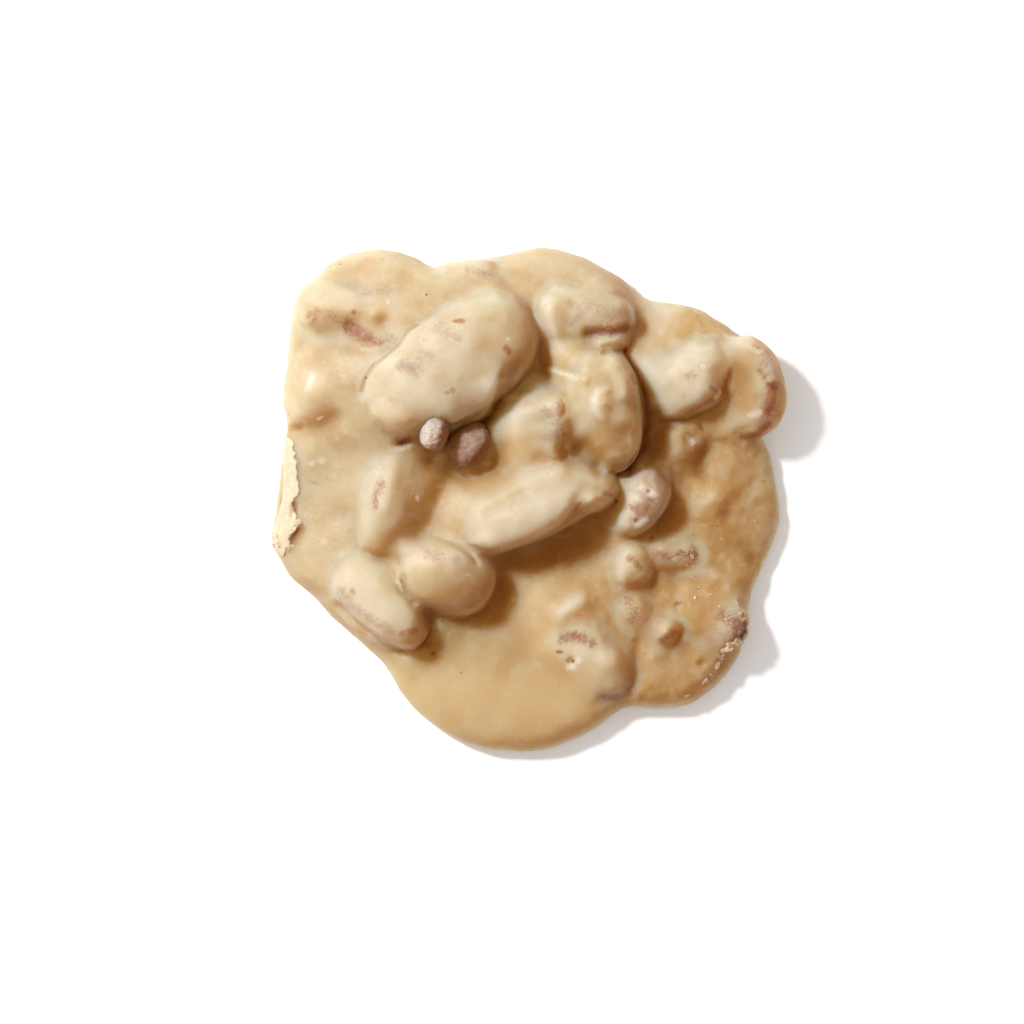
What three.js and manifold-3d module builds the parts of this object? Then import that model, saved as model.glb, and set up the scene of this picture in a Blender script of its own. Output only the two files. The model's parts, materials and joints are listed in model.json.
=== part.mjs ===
// A pecan praline: one spoonful of cooked sugar candy that ran out into a lobed pool and set,
// with pecan halves and broken pieces piled in it, each under a thin coat of the same candy.
// Millimetres, +Z up. Seen from above, +X is to the right and +Y is away from the viewer.
// The origin is at the middle of the flat underside.
import * as THREE from "three";
import { mergeVertices } from "three/addons/utils/BufferGeometryUtils.js";
import Module from "manifold-3d";

const wasm = await Module();
wasm.setup();

// Driving dimensions of the candy pool
const POOL_DEPTH = 5.2; // from the underside to the flat top of the pool
const RIM_ROLL = 3.6; // how far in from the edge the rim rolls over
const RIM_BELLY = 1.3; // height of the widest part of the rim
const RIM_UNDERCUT = 0.8; // how far the foot is set in under the belly
const LOBE_FILLET = 3.0; // width over which two lobes run into each other
const POUR_SIDE = [-0.8, 0.6]; // the side of each nut that the candy ran against and climbed
const CLIMB_REACH = [0.25, 0.85]; // width of the climb on the far and the near side, in half widths

// The pool's lobes: x, y and radius of each round run-out
const LOBES = [
  [-24.2, 26.3, 14.8],
  [-28.6, 17.8, 11.3],
  [-9.8, 1.6, 30.3],
  [-32.4, -5.6, 9.2],
  [-1.6, -18.3, 23.1],
  [21.1, -19.1, 15.2],
  [19.4, -0.9, 22.1],
  [22.5, 17.3, 15.1],
  [8.0, 22.9, 15.2],
  [2.4, 25.5, 15.9],
  [-8.9, 31.9, 7.2],
];

// Swellings of the pool's top: x, y, radius and rise
const SWELLS = [
  [-9.3, 15.8, 20.0, 3.0],
  [-34.6, 18.4, 5.6, 3.2],
  [-29.0, 27.5, 8.0, 1.6],
  [-23.0, 12.0, 6.5, 2.4],
  [-18.0, 0.4, 6.4, 2.8],
  [-23.0, 36.0, 7.0, 1.2],
  [-2.0, 34.0, 8.0, 1.2],
  [5.4, 24.6, 4.6, 2.6],
  [20.4, 22.0, 3.8, 1.6],
  [25.0, 9.2, 4.4, 1.8],
  [31.1, 0.6, 3.8, 1.3],
  [8.2, -18.4, 4.0, 1.9],
  [28.5, -17.0, 5.6, 1.0],
  [21.0, -27.4, 4.4, 0.9],
  [43.0, 0.0, 13.0, -0.8],
];

// Facets of the pool: steps round the edge, over the rim and across the top
const EDGE_STEPS = 132;
const RIM_STEPS = 4;
const TOP_STEPS = 11;

// Pecans, from the top of the pile down. at: x, y of the middle; crest: height of the top;
// size: length, width and thickness; heading, pitch and roll in degrees;
// climb: how far up its far and its near side the candy has run; box: 2 is an egg, more is squarer;
// taper: how much the far end narrows; bend: sideways curve of the ends;
// groove: depth of the lengthwise furrow; waist: depth of the furrow across;
// lumps: unevenness as a share of the size; facets: fineness.
const HALF = {
  climb: [0.12, 0.6], box: 2.6, taper: 0.1, bend: 0, groove: 0, waist: 0, lumps: 0.06,
  pitch: 0, roll: 0, facets: 3,
};
const PIECE = { ...HALF, box: 2.7, taper: 0.05, lumps: 0.07, facets: 2 };
const CRUMB = { ...PIECE, climb: [0.12, 0.5], facets: 1 };
const PECANS = [
  {
    ...PIECE, name: "pecan_tip_left", at: [-14.7, 12.1], crest: 15.7, size: [7.2, 3.5, 6.6], heading: 83,
    climb: [0.1, 0.1],
  },
  {
    ...PIECE, name: "pecan_tip_right", at: [-9.4, 9.3], crest: 11.9, size: [7.0, 5.2, 7.0], heading: 52,
    climb: [0.1, 0.1],
  },
  {
    ...HALF, name: "pecan_half_crown", at: [-12.4, 21.9], crest: 17.0, size: [29.5, 17.0, 11.5], heading: 29,
    roll: -8, box: 2.5, taper: 0.06, facets: 4,
  },
  {
    ...HALF, name: "pecan_half_centre", at: [2.3, -0.6], crest: 14.2, size: [25.4, 10.8, 10], heading: 17,
    roll: -14, box: 2.5, taper: 0.28, bend: -1.6, groove: 0.5, facets: 4,
  },
  {
    ...HALF, name: "pecan_half_tall", at: [12.9, 14.6], crest: 15.6, size: [19.6, 10.0, 11], heading: 97,
    roll: 4, box: 2.8, taper: 0.05,
  },
  {
    ...HALF, name: "pecan_half_west", at: [-23.0, 0.3], crest: 11.5, size: [20, 9.0, 9], heading: 83,
    roll: 4, box: 2.1,
  },
  {
    ...HALF, name: "pecan_half_southwest", at: [-23.6, -16.2], crest: 11.2, size: [18.6, 9.6, 8],
    heading: -46, pitch: -9, box: 2.7, taper: 0.22, climb: [0.1, 0.4],
  },
  {
    ...HALF, name: "pecan_egg", at: [-12.7, -12.4], crest: 13.4, size: [15, 11.2, 9.4], heading: -13,
    pitch: 11, roll: 12, taper: 0,
  },
  {
    ...HALF, name: "pecan_half_north", at: [9.0, 29.5], crest: 12.2, size: [16.4, 9, 8.2], heading: -8,
    box: 2.8, waist: 0.6,
  },
  {
    ...HALF, name: "pecan_half_south", at: [11.2, -25.4], crest: 7.8, size: [15.4, 8.2, 6.6], heading: -44,
    pitch: -6,
  },
  {
    ...PIECE, name: "pecan_half_northwest", at: [-29.4, 30.0], crest: 10.4, size: [17, 9, 7.6], heading: -17,
    taper: 0.12, climb: [0.1, 0.28],
  },
  {
    ...PIECE, name: "pecan_plate", at: [1.0, 12.6], crest: 12.8, size: [11.2, 10.4, 7], heading: 16,
    pitch: -12, roll: 14, box: 2.7,
  },
  {
    ...PIECE, name: "pecan_kidney", at: [18.4, -0.4], crest: 11.0, size: [11.6, 6.6, 7.6], heading: 64,
    taper: -0.22, bend: 1.2, waist: 0.6,
  },
  {
    ...PIECE, name: "pecan_block", at: [26.3, 19.6], crest: 11.2, size: [14.0, 10.6, 8], heading: 24,
    pitch: -12, roll: -6, box: 3,
  },
  {
    ...PIECE, name: "pecan_half_east", at: [37.2, 18.2], crest: 9.8, size: [16.2, 8.8, 8], heading: 99,
    bend: 1.2,
  },
  {
    ...PIECE, name: "pecan_piece_top", at: [-9.7, 35.9], crest: 9.6, size: [11, 6, 6.2], heading: 5,
    climb: [0.1, 0.35],
  },
  {
    ...CRUMB, name: "pecan_cube", at: [17.4, -10.8], crest: 7.8, size: [6.8, 6, 5.6], heading: 92,
    box: 3.4, facets: 2,
  },
  {
    ...CRUMB, name: "pecan_sliver", at: [23.6, -9.0], crest: 6.7, size: [8.6, 4.4, 4], heading: -4, box: 3,
  },
  {
    ...CRUMB, name: "pecan_crumb_south", at: [17.6, -18.3], crest: 7.2, size: [5.6, 4.6, 4.6], heading: 110,
  },
  {
    ...CRUMB, name: "pecan_crumb_east", at: [22.8, -21.4], crest: 7.7, size: [4.4, 3.8, 4.8], heading: 40,
  },
  {
    ...CRUMB, name: "pecan_chip", at: [33.2, -20.9], crest: 7.0, size: [7.6, 4.8, 5], heading: 60, box: 3,
  },
];
const FURROW_SPREAD = 0.26; // width of a furrow, as a share of the half width or half length
const LUMP_WAVES = 3;
const LUMP_PITCH = [2.2, 4.2]; // radians of a wave over the nut's half length
const LUMP_SEED = 977;
const SEAT_GAP = 0.3; // clear space between a nut and whatever holds it
const BEND_MIDDLE = 0.4; // keeps a curved nut centred: its ends swing one way and its middle the other
const NUT_CORE = 0.1; // closer to a nut's middle than this there is no far or near side

// The torn crust on the left edge, and the crumbs on the right edge: x, y, z and radius
const FLAKE = {
  at: [-39.9, 2.2, 2.6], length: 20.5, width: 3.4, thickness: 1.0, heading: 83, lean: -38,
  teeth: 7, tooth: [0.8, 1.05], narrowest: 0.35, bow: 1.0, bowSteps: 6,
};
const CRUMBS = [
  [35.6, -22.0, 3.6, 1.3],
  [34.4, -24.2, 3.2, 1.1],
  [33.0, -25.8, 2.8, 0.9],
  [31.2, -29.4, 2.6, 0.7],
];

// Colours from the photograph
const candyColour = new THREE.MeshStandardMaterial({ color: 0xdcbc8c, roughness: 0.45, metalness: 0 });
const nutColour = new THREE.MeshStandardMaterial({ color: 0x8a5a3c, roughness: 0.65, metalness: 0 });

const WELD = 1e-4; // points closer than this are one point
const RANDOM_FACTOR = 16807;
const RANDOM_RANGE = 2147483647;

const turn = THREE.MathUtils.degToRad;

// The larger of two lengths, rounded off where they are within a width of each other.
function blendedMax(a, b, width) {
  const overlap = Math.max(width - Math.abs(a - b), 0) / width;
  return Math.max(a, b) + (overlap * overlap * width) / 4;
}

// Distance from the origin to the pool's edge in one direction: the furthest reach of any lobe.
function edgeRadius(angle) {
  const ray = new THREE.Vector2(Math.cos(angle), Math.sin(angle));
  let reach = 0;
  for (const [x, y, radius] of LOBES) {
    const along = x * ray.x + y * ray.y;
    const aside = x * ray.y - y * ray.x;
    if (Math.abs(aside) < radius) {
      reach = blendedMax(reach, along + Math.sqrt(radius * radius - aside * aside), LOBE_FILLET);
    }
  }
  return reach;
}

// Height of the pool's top before the rim rolls over: swellings, and candy drawn up round each nut.
function topHeight(x, y) {
  let height = POOL_DEPTH;
  for (const [sx, sy, radius, rise] of SWELLS) {
    const away = Math.hypot(x - sx, y - sy) / radius;
    height += rise * Math.exp(-away * away);
  }
  let drawnUp = 0;
  for (const nut of PECANS) {
    const heading = turn(nut.heading);
    const dx = x - nut.at[0];
    const dy = y - nut.at[1];
    const along = (dx * Math.cos(heading) + dy * Math.sin(heading)) / (nut.size[0] / 2);
    const aside = (dy * Math.cos(heading) - dx * Math.sin(heading)) / (nut.size[1] / 2);
    const away = Math.max(Math.hypot(dx, dy), NUT_CORE);
    const near = 0.5 + (0.5 * (dx * POUR_SIDE[0] + dy * POUR_SIDE[1])) / away;
    const outside = Math.max(Math.hypot(along, aside) - 1, 0) / THREE.MathUtils.lerp(...CLIMB_REACH, near);
    const share = THREE.MathUtils.lerp(...nut.climb, near);
    drawnUp = Math.max(drawnUp, share * Math.max(nut.crest - height, 0) * Math.exp(-outside * outside));
  }
  return height + drawnUp;
}

// Share of the full depth that the rim has reached at a distance in from the edge.
function rimShare(inset) {
  const left = 1 - Math.min(inset / RIM_ROLL, 1);
  const belly = RIM_BELLY / POOL_DEPTH;
  return belly + (1 - belly) * Math.sqrt(1 - left * left);
}

// The pool as a closed mesh of rings, from the foot up over the rim to the middle of the top.
function poolGeometry() {
  const points = [];
  const rings = [];
  const addRing = (steps, pointAt) => {
    const ring = [];
    for (let i = 0; i < steps; i++) {
      const angle = (i / steps) * 2 * Math.PI;
      ring.push(points.length / 3);
      points.push(...pointAt(angle, edgeRadius(angle)));
    }
    rings.push(ring);
  };
  const polar = (angle, radius, z) => [radius * Math.cos(angle), radius * Math.sin(angle), z];

  addRing(EDGE_STEPS, (angle, edge) => polar(angle, edge - RIM_UNDERCUT, 0));
  for (let i = 0; i <= RIM_STEPS; i++) {
    const inset = RIM_ROLL * (1 - Math.cos((i / RIM_STEPS) * (Math.PI / 2)));
    addRing(EDGE_STEPS, (angle, edge) => {
      const [x, y] = polar(angle, edge - inset, 0);
      return [x, y, rimShare(inset) * topHeight(x, y)];
    });
  }
  for (let i = 1; i < TOP_STEPS; i++) {
    addRing(EDGE_STEPS / 2, (angle, edge) => {
      const [x, y] = polar(angle, (edge - RIM_ROLL) * (1 - i / TOP_STEPS), 0);
      return [x, y, topHeight(x, y)];
    });
  }
  const top = points.push(0, 0, topHeight(0, 0)) / 3 - 1;
  const foot = points.push(0, 0, 0) / 3 - 1;

  const faces = [];
  // A band between two rings; the inner one may have half as many points as the outer one.
  const band = (outer, inner) => {
    const fold = outer.length / inner.length;
    for (let i = 0; i < outer.length; i++) {
      const a = outer[i];
      const b = outer[(i + 1) % outer.length];
      const c = inner[Math.floor((i + fold - 1) / fold) % inner.length];
      const d = inner[Math.floor((i + fold) / fold) % inner.length];
      faces.push(a, b, c);
      if (c !== d) faces.push(b, d, c);
    }
  };
  for (let i = 0; i + 1 < rings.length; i++) band(rings[i], rings[i + 1]);
  const fan = (ring, centre, upwards) => {
    ring.forEach((a, i) => {
      const b = ring[(i + 1) % ring.length];
      faces.push(...(upwards ? [a, b, centre] : [b, a, centre]));
    });
  };
  fan(rings.at(-1), top, true);
  fan(rings[0], foot, false);

  const geometry = new THREE.BufferGeometry();
  geometry.setAttribute("position", new THREE.Float32BufferAttribute(points, 3));
  geometry.setIndex(faces);
  return geometry;
}

// A repeatable row of random numbers from 0 to 1.
function randomRow(seed) {
  let state = seed;
  return () => {
    state = (state * RANDOM_FACTOR) % RANDOM_RANGE;
    return state / RANDOM_RANGE;
  };
}

// Uneven swelling of a nut, from -1 to 1 over its surface: a few waves in random directions.
function lumpsOf(nut) {
  const random = randomRow(LUMP_SEED * (1 + PECANS.indexOf(nut)));
  const waves = Array.from({ length: LUMP_WAVES }, () => ({
    way: new THREE.Vector3(random() - 0.5, random() - 0.5, random() - 0.5)
      .setLength(THREE.MathUtils.lerp(...LUMP_PITCH, random())),
    start: 2 * Math.PI * random(),
  }));
  const height = (wave, point) => Math.sin(wave.way.dot(point) + wave.start);
  return (point) => waves.reduce((sum, wave) => sum + height(wave, point), 0) / LUMP_WAVES;
}

// One nut in its own frame: a sphere pressed towards a rounded box, stretched to size, made uneven,
// furrowed, narrowed towards one end and curved sideways. grow makes it larger all round.
function pecanGeometry(nut, grow = 0) {
  const sphere = new THREE.IcosahedronGeometry(1, nut.facets);
  sphere.deleteAttribute("normal");
  sphere.deleteAttribute("uv");
  const geometry = mergeVertices(sphere, WELD);
  const [length, width, thickness] = nut.size;
  const lumps = lumpsOf(nut);
  const bell = (distance, spread) => Math.exp(-((distance / spread) ** 2));
  const at = geometry.getAttribute("position");
  for (let i = 0; i < at.count; i++) {
    const way = new THREE.Vector3().fromBufferAttribute(at, i);
    const swelling = 1 + nut.lumps * lumps(way);
    const reach = [way.x, way.y, way.z].reduce((sum, part) => sum + Math.abs(part) ** nut.box, 0);
    way.multiplyScalar(reach ** (-1 / nut.box));
    const along = nut.groove * bell(way.y, FURROW_SPREAD) * (1 - way.x ** 2);
    const furrow = along + nut.waist * bell(way.x, FURROW_SPREAD);
    const narrow = 1 - nut.taper * way.x;
    at.setXYZ(
      i,
      way.x * ((swelling * length) / 2 + grow),
      way.y * ((swelling * width * narrow) / 2 + grow) + nut.bend * (way.x ** 2 - BEND_MIDDLE),
      way.z * ((swelling * thickness) / 2 + grow) - furrow * Math.max(way.z, 0),
    );
  }
  return geometry;
}

function placed(middle, angles) {
  const rotation = new THREE.Quaternion().setFromEuler(angles);
  return new THREE.Matrix4().compose(middle, rotation, new THREE.Vector3(1, 1, 1));
}

// The nut's place: turned to its heading, with its crest at the stated height.
function pecanMatrix(nut) {
  const angles = new THREE.Euler(turn(nut.roll), turn(nut.pitch), turn(nut.heading), "ZYX");
  const middle = new THREE.Vector3(...nut.at, nut.crest - nut.size[2] / 2);
  return placed(middle, angles);
}

// A torn sheet of crust: a long strip with an uneven inner edge, leaning outwards with the rim.
function flakeGeometry() {
  const { length, width, thickness, teeth, tooth, narrowest, bow, bowSteps } = FLAKE;
  const outline = new THREE.Shape();
  outline.moveTo(-length / 2, 0);
  const steps = teeth * 2;
  for (let i = 0; i <= steps; i++) {
    const share = i / steps;
    const swell = THREE.MathUtils.lerp(narrowest, 1, Math.sin(Math.PI * share));
    outline.lineTo((share - 0.5) * length, -width * swell * tooth[(i + 1) % 2]);
  }
  outline.lineTo(length / 2, 0);
  outline.quadraticCurveTo(0, bow, -length / 2, 0);
  const drawn = { depth: thickness, bevelEnabled: false, curveSegments: bowSteps };
  const sheet = new THREE.ExtrudeGeometry(outline, drawn);
  const angles = new THREE.Euler(turn(FLAKE.lean), 0, turn(FLAKE.heading), "ZYX");
  return sheet.applyMatrix4(placed(new THREE.Vector3(...FLAKE.at), angles));
}

// A geometry as a solid for joining and cutting.
function solidOf(geometry) {
  const bare = new THREE.BufferGeometry().setAttribute("position", geometry.getAttribute("position").clone());
  if (geometry.index) bare.setIndex(geometry.index.clone());
  const merged = mergeVertices(bare, WELD);
  return new wasm.Manifold(
    new wasm.Mesh({
      numProp: 3,
      vertProperties: new Float32Array(merged.getAttribute("position").array),
      triVerts: new Uint32Array(merged.index.array),
    }),
  );
}

function geometryOf(solid) {
  const mesh = solid.getMesh();
  const geometry = new THREE.BufferGeometry();
  geometry.setAttribute("position", new THREE.BufferAttribute(mesh.vertProperties, 3));
  geometry.setIndex(new THREE.BufferAttribute(mesh.triVerts, 1));
  geometry.computeVertexNormals();
  return geometry;
}

function nutSolid(nut, grow = 0) {
  return solidOf(pecanGeometry(nut, grow).applyMatrix4(pecanMatrix(nut)));
}

// The largest part of a cut, without slivers.
function mainBody(solid) {
  return solid.decompose().reduce((best, body) => (body.volume() > best.volume() ? body : best));
}

// Nuts are listed from the top of the pile down: each gives way to those before it.
const clearances = PECANS.map((nut) => nutSolid(nut, SEAT_GAP));
const nutSolids = PECANS.map((nut, i) => {
  const cut = clearances.slice(0, i).reduce((solid, above) => solid.subtract(above), nutSolid(nut));
  return mainBody(cut);
});

let candy = solidOf(poolGeometry()).add(solidOf(flakeGeometry()));
for (const [x, y, z, radius] of CRUMBS) {
  candy = candy.add(solidOf(new THREE.IcosahedronGeometry(radius, 0).translate(x, y, z)));
}
candy = mainBody(clearances.reduce((solid, nut) => solid.subtract(nut), candy));

const praline = new THREE.Group();
const addNode = (name, solid, material) => {
  const mesh = new THREE.Mesh(geometryOf(solid), material);
  mesh.name = name;
  praline.add(mesh);
};
addNode("candy", candy, candyColour);
PECANS.forEach((nut, i) => addNode(nut.name, nutSolids[i], nutColour));

// The middle of the underside becomes the origin.
const extent = new THREE.Box3().setFromObject(praline);
const middle = extent.getCenter(new THREE.Vector3());
praline.position.set(-middle.x, -middle.y, -extent.min.z);

export default praline;
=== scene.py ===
# %% [markdown]
# # A pecan praline
# A praline is a spoonful of brown-sugar candy with pecans stirred into it. It is dropped on a flat sheet,
# runs out into a lobed pool and sets within minutes. The candy coats almost every nut, so one skin covers
# the whole pile, and the brown nuts show only where the skin is thin, worn or broken. The solids of the
# pool and of each nut are loaded first. They set the size and the place of everything below.

# %% Load the solids
import json
import math

import bpy
import numpy as np
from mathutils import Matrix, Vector
from mathutils.bvhtree import BVHTree

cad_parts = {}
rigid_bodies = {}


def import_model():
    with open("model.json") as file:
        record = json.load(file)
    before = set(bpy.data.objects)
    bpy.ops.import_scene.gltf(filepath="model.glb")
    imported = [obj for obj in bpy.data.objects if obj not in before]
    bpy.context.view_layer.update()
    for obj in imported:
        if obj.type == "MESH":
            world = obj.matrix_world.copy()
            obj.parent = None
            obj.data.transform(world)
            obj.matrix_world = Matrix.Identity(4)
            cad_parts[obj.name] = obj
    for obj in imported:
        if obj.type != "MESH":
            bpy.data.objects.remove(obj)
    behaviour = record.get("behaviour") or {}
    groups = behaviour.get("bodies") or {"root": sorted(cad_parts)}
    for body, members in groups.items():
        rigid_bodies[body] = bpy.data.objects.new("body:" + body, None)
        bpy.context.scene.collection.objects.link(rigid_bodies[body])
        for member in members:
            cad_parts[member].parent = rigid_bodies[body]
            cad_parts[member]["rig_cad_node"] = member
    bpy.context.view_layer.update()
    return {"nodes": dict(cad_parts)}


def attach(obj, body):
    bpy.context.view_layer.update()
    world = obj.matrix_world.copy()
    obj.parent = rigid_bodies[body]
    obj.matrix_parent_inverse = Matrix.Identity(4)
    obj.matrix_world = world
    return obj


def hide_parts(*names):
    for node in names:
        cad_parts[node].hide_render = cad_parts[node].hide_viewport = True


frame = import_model()
nodes = frame["nodes"]
MM = 0.001

# %% [markdown]
# The camera looks straight down, as in the photograph, through a long lens, so that the high nuts are
# hardly shifted against the pool. The light is one lamp up on the left over a white table: shadows fall to
# the lower right, with a slightly soft edge. A faint warm surround keeps them from going black.

# %% Camera, light and table
FRAME_WIDTH = 167.9 * MM  # width of table that the square picture shows
PHOTO_SIZE = 1024  # pixels, the photograph's width and height
PIXEL = FRAME_WIDTH / MM / PHOTO_SIZE  # mm of table that one pixel shows
LENS = 150.0  # mm
VIEW_CENTRE = Vector((-2.55 * MM, -1.89 * MM, 0))
camera_data = bpy.data.cameras.new("Camera")
camera_data.lens = LENS
camera = bpy.data.objects.new("Camera", camera_data)
bpy.context.scene.collection.objects.link(camera)
camera.location = VIEW_CENTRE + Vector((0, 0, FRAME_WIDTH * LENS / camera_data.sensor_width))
bpy.context.scene.camera = camera

LAMP_DISTANCE = 900 * MM
LAMP_WIDTH = 125 * MM
LAMP_POWER = 7.7  # W
LIGHT_TRAVEL = Vector((0.8, -0.6, -1.0)).normalized()
lamp_data = bpy.data.lights.new("Lamp", "AREA")
lamp_data.shape = "DISK"
lamp_data.size = LAMP_WIDTH
lamp_data.energy = LAMP_POWER
lamp = bpy.data.objects.new("Lamp", lamp_data)
bpy.context.scene.collection.objects.link(lamp)
lamp.location = -LIGHT_TRAVEL * LAMP_DISTANCE
lamp.rotation_euler = LIGHT_TRAVEL.to_track_quat("-Z", "Y").to_euler()

SURROUND_COLOUR = (1, 0.5, 0.19, 1)
SURROUND_STRENGTH = 0.26
surround = bpy.data.worlds.new("Warm surround")
surround.use_nodes = True
background = surround.node_tree.nodes["Background"]
background.inputs["Color"].default_value = SURROUND_COLOUR
background.inputs["Strength"].default_value = SURROUND_STRENGTH
bpy.context.scene.world = surround
bpy.context.scene.view_settings.view_transform = "Standard"

TABLE_WIDTH = 4000 * MM
bpy.ops.mesh.primitive_plane_add(size=TABLE_WIDTH)
table = bpy.context.object
table.name = "table"
print(f"camera {camera.location.z / MM:.0f} mm above the table")

# %% [markdown]
# A few small helpers. Operators act on whatever is selected, so each one starts by selecting only its own
# piece. Colours are written as the hex values that a paint program shows, and one function turns them into
# the linear values that the shader works with. Every material is built with one function that adds a node
# and links it.

# %% Helpers
WELD = 0.001 * MM  # points closer than this are one point


def select_only(*pieces):
    bpy.ops.object.select_all(action="DESELECT")
    for piece in pieces:
        piece.select_set(True)
    bpy.context.view_layer.objects.active = pieces[-1]


def apply_modifier(piece, kind, **settings):
    modifier = piece.modifiers.new(kind.title(), kind)
    for name, value in settings.items():
        setattr(modifier, name, value)
    select_only(piece)
    bpy.ops.object.modifier_apply(modifier=modifier.name)


def relax(piece, rounds, vertex_group=""):
    """Smooths a surface: each vertex moves halfway to its neighbours, this many times."""
    apply_modifier(piece, "SMOOTH", factor=0.5, iterations=rounds, vertex_group=vertex_group)


def edit_all(piece):
    select_only(piece)
    bpy.ops.object.mode_set(mode="EDIT")
    bpy.ops.mesh.select_all(action="SELECT")


def copy_node(name):
    """A copy of a solid's mesh as one closed surface, with its loose triangles merged."""
    select_only(nodes[name])
    bpy.ops.object.duplicate()
    piece = bpy.context.object
    del piece["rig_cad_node"]
    edit_all(piece)
    bpy.ops.mesh.customdata_custom_splitnormals_clear()
    bpy.ops.mesh.remove_doubles(threshold=WELD)
    bpy.ops.mesh.faces_shade_smooth()
    bpy.ops.object.mode_set(mode="OBJECT")
    return piece


def points_of(piece):
    """The piece's vertices as an array of rows, in millimetres."""
    flat = np.empty(len(piece.data.vertices) * 3, np.float32)
    piece.data.vertices.foreach_get("co", flat)
    return flat.reshape(-1, 3).astype(float) / MM


def linear(hex_colour):
    """An sRGB hex colour as linear red, green, blue and alpha."""
    parts = [int(hex_colour[i : i + 2], 16) / 255 for i in (1, 3, 5)]
    return (*(p / 12.92 if p <= 0.04045 else ((p + 0.055) / 1.055) ** 2.4 for p in parts), 1)


def connect(material, node, inputs):
    """Gives inputs of a node, by name or number, a value or a link from a socket."""
    for name, value in inputs.items():
        if isinstance(value, bpy.types.NodeSocket):
            material.node_tree.links.new(value, node.inputs[name])
        else:
            node.inputs[name].default_value = value


def add(material, kind, inputs, output=None, **settings):
    """Adds a node with its settings and links. Returns one output, the first in use unless it is named."""
    node = material.node_tree.nodes.new(kind)
    for name, value in settings.items():
        setattr(node, name, value)
    connect(material, node, inputs)
    return node.outputs[output] if output else next(socket for socket in node.outputs if socket.enabled)


def per_mm(size):
    """The scale of a pattern whose features are this many millimetres across."""
    return 1 / (size * MM)


print("helpers ready")

# %% [markdown]
# ## The candy skin
# On the real sweet the candy flows over the nuts and pulls into soft fillets where they meet. By hand this
# would be a remesh: the pool and the coated nuts are copied, the nuts are rounded and fattened by their
# coat, all are joined, and a voxel remesh melts them into one closed surface. Smoothing then gives the
# fillets. Two nuts stay bare. They go in slightly thinned, so that the candy only closes round their feet.

# %% Pool and coated nuts melted into one skin
# The bare nuts, and how much sugar dust each carries
BARE_NUTS = {"pecan_tip_left": 1.0, "pecan_tip_right": 0.4}
COAT = 0.35  # mm of candy on a nut
BARE_COAT = -0.4  # mm, the candy ends below the face of a bare nut
VOXEL = 0.36  # mm
FILLET_ROUNDS = 10

melting = [copy_node("candy")]
nut_points = []
nut_faces = []
for name in sorted(nodes):
    if name == "candy":
        continue
    nut = copy_node(name)
    coat_here = BARE_COAT
    if name not in BARE_NUTS:
        coat_here = COAT
        nut_faces += [[len(nut_points) + corner for corner in face.vertices] for face in nut.data.polygons]
        nut_points += [vertex.co.copy() for vertex in nut.data.vertices]
    apply_modifier(nut, "SUBSURF", levels=2, render_levels=2)
    edit_all(nut)
    bpy.ops.transform.shrink_fatten(value=coat_here * MM)
    bpy.ops.object.mode_set(mode="OBJECT")
    melting.append(nut)
select_only(*melting[1:], melting[0])
bpy.ops.object.join()
skin = bpy.context.object
skin.name = "candy_skin"
apply_modifier(skin, "REMESH", mode="VOXEL", voxel_size=VOXEL * MM)
relax(skin, FILLET_ROUNDS)
print(f"skin of {len(skin.data.polygons)} faces")

# %% [markdown]
# The candy ran in from the far left and banked up against each nut on that side, so there the nuts grow out
# of the pool, while their other sides stand free. A height map of the skin gives, for each place, the ramps
# that lead up to the crests downstream of it. The skin is lifted to the highest of them and remeshed.

# %% Candy banked up against the nuts
CELL = 0.3  # mm, side of a cell of the height map
BANK_SLOPE = 0.95  # rise of the ramps
BANK_PROUD = 0.7  # mm that a nut stands above its ramp
BANK_REACH = 5.0  # mm
BANK_COURSES = (-72, -37, -2)  # degrees, the ways the candy ran, counted from +X
RIM_TOP = (4.2, 5.4)  # mm, no ramp below the first height, full ramps above the second
BANK_ROUNDS = 10
STEEPEST = 0.25  # upward part of the normal at which a face counts fully as a top
FAINTEST = 0.01  # weights below this are left out


def facing_up(piece):
    """From 0 on walls and undersides to 1 on tops."""
    normals = np.empty(len(piece.data.vertices) * 3, np.float32)
    piece.data.vertices.foreach_get("normal", normals)
    return np.clip(normals.reshape(-1, 3)[:, 2] / STEEPEST, 0, 1)


def weigh(piece, name, weights):
    """A vertex group with these weights."""
    group = piece.vertex_groups.new(name=name)
    for index in np.flatnonzero(weights > FAINTEST):
        group.add([int(index)], float(weights[index]), "REPLACE")


def move_group(piece, name, heights):
    """Lifts each vertex by its height in millimetres, by way of a weighted vertex group."""
    largest = np.abs(heights).max()
    weigh(piece, name, np.abs(heights) / largest)
    sign = np.sign(heights[np.abs(heights).argmax()])
    apply_modifier(
        piece, "DISPLACE", direction="Z", vertex_group=name, strength=float(sign * largest) * MM, mid_level=0
    )


points = points_of(skin)
cells = ((points[:, :2] - points[:, :2].min(axis=0) + 2 * BANK_REACH) / CELL).astype(int)
heights = np.zeros(cells.max(axis=0) + int(2 * BANK_REACH / CELL))
np.maximum.at(heights, (cells[:, 0], cells[:, 1]), points[:, 2])
ramps = np.zeros_like(heights)
for course in np.radians(BANK_COURSES):
    for away in np.arange(CELL, BANK_REACH, CELL):
        shift = np.round(away / CELL * np.array([np.cos(course), np.sin(course)])).astype(int)
        ramps = np.maximum(ramps, np.roll(heights, -shift, axis=(0, 1)) - BANK_SLOPE * away - BANK_PROUD)
above_rim = np.clip((points[:, 2] - RIM_TOP[0]) / (RIM_TOP[1] - RIM_TOP[0]), 0, 1)
banked = np.clip(ramps[cells[:, 0], cells[:, 1]] - points[:, 2], 0, None) * above_rim
move_group(skin, "banked", banked)
apply_modifier(skin, "REMESH", mode="VOXEL", voxel_size=VOXEL * MM)
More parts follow.
